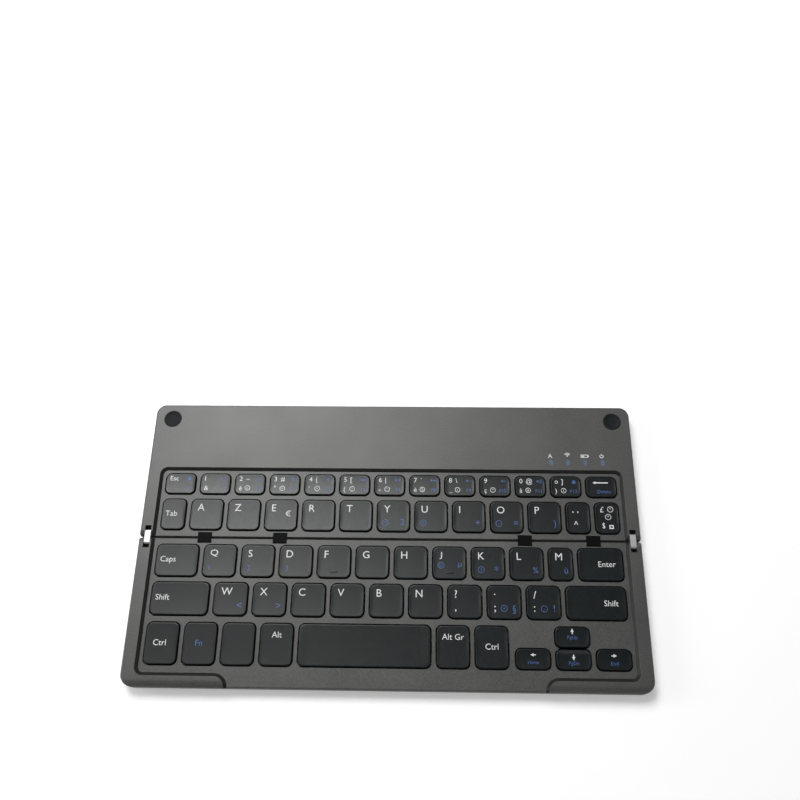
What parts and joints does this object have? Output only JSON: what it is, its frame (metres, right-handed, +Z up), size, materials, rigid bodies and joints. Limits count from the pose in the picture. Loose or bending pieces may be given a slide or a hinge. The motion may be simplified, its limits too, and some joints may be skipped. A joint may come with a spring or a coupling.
{
  "type": "folding keyboard",
  "caption": "Compact keyboard in two shells that fold flat on each other about twin-pivot side links, with sprung low keys in a sunk deck.",
  "frame": {"origin": "on the seam between the two halves, in the middle of the keyboard, at the underside of the feet", "axes": "+X to the right along the keyboard, +Y towards the rear edge, +Z up out of the key tops, opened flat"},
  "size_m": [0.25, 0.1434, 0.0084],
  "materials": {
    "case_paint": "satin grey paint with a fine metallic grain",
    "cover_plastic": "fine matt texture",
    "key_plastic": "fine matt texture, dark charcoal",
    "plate_steel": "galvanised sheet",
    "membrane_film": "milky film",
    "dome_rubber": "translucent silicone",
    "black_rubber": "matt black rubber",
    "bridge_plastic": "smooth black",
    "dark_steel": "blackened steel",
    "bright_steel": "bright, finely ground",
    "socket_steel": "tin-plated sheet",
    "battery_foil": "silver pouch foil",
    "board_laminate": "green solder mask",
    "lens_plastic": "clear, slightly smoky",
    "magnet_plating": "nickel plating"
  },
  "bodies": {
    "lower_half": {"lower_case": "case_paint", "lower_bottom_cover": "cover_plastic", "lower_key_plate": "plate_steel", "lower_membrane": "membrane_film", "lower_domes": "dome_rubber", "lower_feet": "black_rubber", "lower_screws": "dark_steel", "lower_hinge_pins": "bright_steel"},
    "hinge_links": {"side_hinge_links": "bright_steel", "cable_bridges": "bridge_plastic"},
    "upper_half": {"upper_case": "case_paint", "upper_bottom_cover": "cover_plastic", "upper_key_plate": "plate_steel", "upper_membrane": "membrane_film", "upper_domes": "dome_rubber", "upper_feet": "black_rubber", "upper_screws": "dark_steel", "upper_hinge_pins": "bright_steel", "battery": "battery_foil", "circuit_board": "board_laminate", "charging_socket": "socket_steel", "status_lenses": "lens_plastic", "closing_bumpers": "black_rubber", "closing_magnets": "magnet_plating"},
    "key_caps": {"key_caps": "key_plastic"},
    "key_q": {"key_q": "key_plastic"},
    "key_s": {"key_s": "key_plastic"},
    "key_d": {"key_d": "key_plastic"},
    "key_f": {"key_f": "key_plastic"},
    "key_g": {"key_g": "key_plastic"},
    "key_h": {"key_h": "key_plastic"},
    "key_j": {"key_j": "key_plastic"},
    "key_k": {"key_k": "key_plastic"},
    "key_l": {"key_l": "key_plastic"},
    "key_m": {"key_m": "key_plastic"},
    "key_enter": {"key_enter": "key_plastic"},
    "key_left_shift": {"key_left_shift": "key_plastic"},
    "key_w": {"key_w": "key_plastic"},
    "key_x": {"key_x": "key_plastic"},
    "key_c": {"key_c": "key_plastic"},
    "key_v": {"key_v": "key_plastic"},
    "key_b": {"key_b": "key_plastic"},
    "key_n": {"key_n": "key_plastic"},
    "key_comma": {"key_comma": "key_plastic"},
    "key_period": {"key_period": "key_plastic"},
    "key_slash": {"key_slash": "key_plastic"},
    "key_right_shift": {"key_right_shift": "key_plastic"},
    "key_left_ctrl": {"key_left_ctrl": "key_plastic"},
    "key_fn": {"key_fn": "key_plastic"},
    "key_system": {"key_system": "key_plastic"},
    "key_alt": {"key_alt": "key_plastic"},
    "key_space": {"key_space": "key_plastic"},
    "key_alt_gr": {"key_alt_gr": "key_plastic"},
    "key_right_ctrl": {"key_right_ctrl": "key_plastic"},
    "key_left": {"key_left": "key_plastic"},
    "key_up": {"key_up": "key_plastic"},
    "key_down": {"key_down": "key_plastic"},
    "key_right": {"key_right": "key_plastic"},
    "number_row_keys": {"number_row_keys": "key_plastic"},
    "letter_row_keys": {"letter_row_keys": "key_plastic"}
  },
  "joints": [
    {"name": "fold_lower_pivot", "type": "hinge", "parent": "lower_half", "child": "hinge_links", "pos_m": [0, -0.0021, 0.00625], "axis": [1, 0, 0], "range_deg": [0, 90]},
    {"name": "fold_upper_pivot", "type": "hinge", "parent": "hinge_links", "child": "upper_half", "pos_m": [0, 0.0021, 0.00625], "axis": [1, 0, 0], "range_deg": [0, 90]},
    {"name": "key_caps_press", "type": "slide", "parent": "lower_half", "child": "key_caps", "axis": [0, 0, -1], "range_m": [0, 0.0014], "stiffness_N_per_m": 350, "deforming": ["lower_domes"]},
    {"name": "key_q_press", "type": "slide", "parent": "lower_half", "child": "key_q", "axis": [0, 0, -1], "range_m": [0, 0.0014], "stiffness_N_per_m": 350, "deforming": ["lower_domes"]},
    {"name": "key_s_press", "type": "slide", "parent": "lower_half", "child": "key_s", "axis": [0, 0, -1], "range_m": [0, 0.0014], "stiffness_N_per_m": 350, "deforming": ["lower_domes"]},
    {"name": "key_d_press", "type": "slide", "parent": "lower_half", "child": "key_d", "axis": [0, 0, -1], "range_m": [0, 0.0014], "stiffness_N_per_m": 350, "deforming": ["lower_domes"]},
    {"name": "key_f_press", "type": "slide", "parent": "lower_half", "child": "key_f", "axis": [0, 0, -1], "range_m": [0, 0.0014], "stiffness_N_per_m": 350, "deforming": ["lower_domes"]},
    {"name": "key_g_press", "type": "slide", "parent": "lower_half", "child": "key_g", "axis": [0, 0, -1], "range_m": [0, 0.0014], "stiffness_N_per_m": 350, "deforming": ["lower_domes"]},
    {"name": "key_h_press", "type": "slide", "parent": "lower_half", "child": "key_h", "axis": [0, 0, -1], "range_m": [0, 0.0014], "stiffness_N_per_m": 350, "deforming": ["lower_domes"]},
    {"name": "key_j_press", "type": "slide", "parent": "lower_half", "child": "key_j", "axis": [0, 0, -1], "range_m": [0, 0.0014], "stiffness_N_per_m": 350, "deforming": ["lower_domes"]},
    {"name": "key_k_press", "type": "slide", "parent": "lower_half", "child": "key_k", "axis": [0, 0, -1], "range_m": [0, 0.0014], "stiffness_N_per_m": 350, "deforming": ["lower_domes"]},
    {"name": "key_l_press", "type": "slide", "parent": "lower_half", "child": "key_l", "axis": [0, 0, -1], "range_m": [0, 0.0014], "stiffness_N_per_m": 350, "deforming": ["lower_domes"]},
    {"name": "key_m_press", "type": "slide", "parent": "lower_half", "child": "key_m", "axis": [0, 0, -1], "range_m": [0, 0.0014], "stiffness_N_per_m": 350, "deforming": ["lower_domes"]},
    {"name": "key_enter_press", "type": "slide", "parent": "lower_half", "child": "key_enter", "axis": [0, 0, -1], "range_m": [0, 0.0014], "stiffness_N_per_m": 350, "deforming": ["lower_domes"]},
    {"name": "key_left_shift_press", "type": "slide", "parent": "lower_half", "child": "key_left_shift", "axis": [0, 0, -1], "range_m": [0, 0.0014], "stiffness_N_per_m": 350, "deforming": ["lower_domes"]},
    {"name": "key_w_press", "type": "slide", "parent": "lower_half", "child": "key_w", "axis": [0, 0, -1], "range_m": [0, 0.0014], "stiffness_N_per_m": 350, "deforming": ["lower_domes"]},
    {"name": "key_x_press", "type": "slide", "parent": "lower_half", "child": "key_x", "axis": [0, 0, -1], "range_m": [0, 0.0014], "stiffness_N_per_m": 350, "deforming": ["lower_domes"]},
    {"name": "key_c_press", "type": "slide", "parent": "lower_half", "child": "key_c", "axis": [0, 0, -1], "range_m": [0, 0.0014], "stiffness_N_per_m": 350, "deforming": ["lower_domes"]},
    {"name": "key_v_press", "type": "slide", "parent": "lower_half", "child": "key_v", "axis": [0, 0, -1], "range_m": [0, 0.0014], "stiffness_N_per_m": 350, "deforming": ["lower_domes"]},
    {"name": "key_b_press", "type": "slide", "parent": "lower_half", "child": "key_b", "axis": [0, 0, -1], "range_m": [0, 0.0014], "stiffness_N_per_m": 350, "deforming": ["lower_domes"]},
    {"name": "key_n_press", "type": "slide", "parent": "lower_half", "child": "key_n", "axis": [0, 0, -1], "range_m": [0, 0.0014], "stiffness_N_per_m": 350, "deforming": ["lower_domes"]},
    {"name": "key_comma_press", "type": "slide", "parent": "lower_half", "child": "key_comma", "axis": [0, 0, -1], "range_m": [0, 0.0014], "stiffness_N_per_m": 350, "deforming": ["lower_domes"]},
    {"name": "key_period_press", "type": "slide", "parent": "lower_half", "child": "key_period", "axis": [0, 0, -1], "range_m": [0, 0.0014], "stiffness_N_per_m": 350, "deforming": ["lower_domes"]},
    {"name": "key_slash_press", "type": "slide", "parent": "lower_half", "child": "key_slash", "axis": [0, 0, -1], "range_m": [0, 0.0014], "stiffness_N_per_m": 350, "deforming": ["lower_domes"]},
    {"name": "key_right_shift_press", "type": "slide", "parent": "lower_half", "child": "key_right_shift", "axis": [0, 0, -1], "range_m": [0, 0.0014], "stiffness_N_per_m": 350, "deforming": ["lower_domes"]},
    {"name": "key_left_ctrl_press", "type": "slide", "parent": "lower_half", "child": "key_left_ctrl", "axis": [0, 0, -1], "range_m": [0, 0.0014], "stiffness_N_per_m": 350, "deforming": ["lower_domes"]},
    {"name": "key_fn_press", "type": "slide", "parent": "lower_half", "child": "key_fn", "axis": [0, 0, -1], "range_m": [0, 0.0014], "stiffness_N_per_m": 350, "deforming": ["lower_domes"]},
    {"name": "key_system_press", "type": "slide", "parent": "lower_half", "child": "key_system", "axis": [0, 0, -1], "range_m": [0, 0.0014], "stiffness_N_per_m": 350, "deforming": ["lower_domes"]},
    {"name": "key_alt_press", "type": "slide", "parent": "lower_half", "child": "key_alt", "axis": [0, 0, -1], "range_m": [0, 0.0014], "stiffness_N_per_m": 350, "deforming": ["lower_domes"]},
    {"name": "key_space_press", "type": "slide", "parent": "lower_half", "child": "key_space", "axis": [0, 0, -1], "range_m": [0, 0.0014], "stiffness_N_per_m": 350, "deforming": ["lower_domes"]},
    {"name": "key_alt_gr_press", "type": "slide", "parent": "lower_half", "child": "key_alt_gr", "axis": [0, 0, -1], "range_m": [0, 0.0014], "stiffness_N_per_m": 350, "deforming": ["lower_domes"]},
    {"name": "key_right_ctrl_press", "type": "slide", "parent": "lower_half", "child": "key_right_ctrl", "axis": [0, 0, -1], "range_m": [0, 0.0014], "stiffness_N_per_m": 350, "deforming": ["lower_domes"]},
    {"name": "key_left_press", "type": "slide", "parent": "lower_half", "child": "key_left", "axis": [0, 0, -1], "range_m": [0, 0.0014], "stiffness_N_per_m": 350, "deforming": ["lower_domes"]},
    {"name": "key_up_press", "type": "slide", "parent": "lower_half", "child": "key_up", "axis": [0, 0, -1], "range_m": [0, 0.0014], "stiffness_N_per_m": 350, "deforming": ["lower_domes"]},
    {"name": "key_down_press", "type": "slide", "parent": "lower_half", "child": "key_down", "axis": [0, 0, -1], "range_m": [0, 0.0014], "stiffness_N_per_m": 350, "deforming": ["lower_domes"]},
    {"name": "key_right_press", "type": "slide", "parent": "lower_half", "child": "key_right", "axis": [0, 0, -1], "range_m": [0, 0.0014], "stiffness_N_per_m": 350, "deforming": ["lower_domes"]},
    {"name": "number_row_keys_press", "type": "slide", "parent": "upper_half", "child": "number_row_keys", "axis": [0, 0, -1], "range_m": [0, 0.0014], "stiffness_N_per_m": 4550, "deforming": ["upper_domes"]},
    {"name": "letter_row_keys_press", "type": "slide", "parent": "upper_half", "child": "letter_row_keys", "axis": [0, 0, -1], "range_m": [0, 0.0014], "stiffness_N_per_m": 4550, "deforming": ["upper_domes"]}
  ]
}
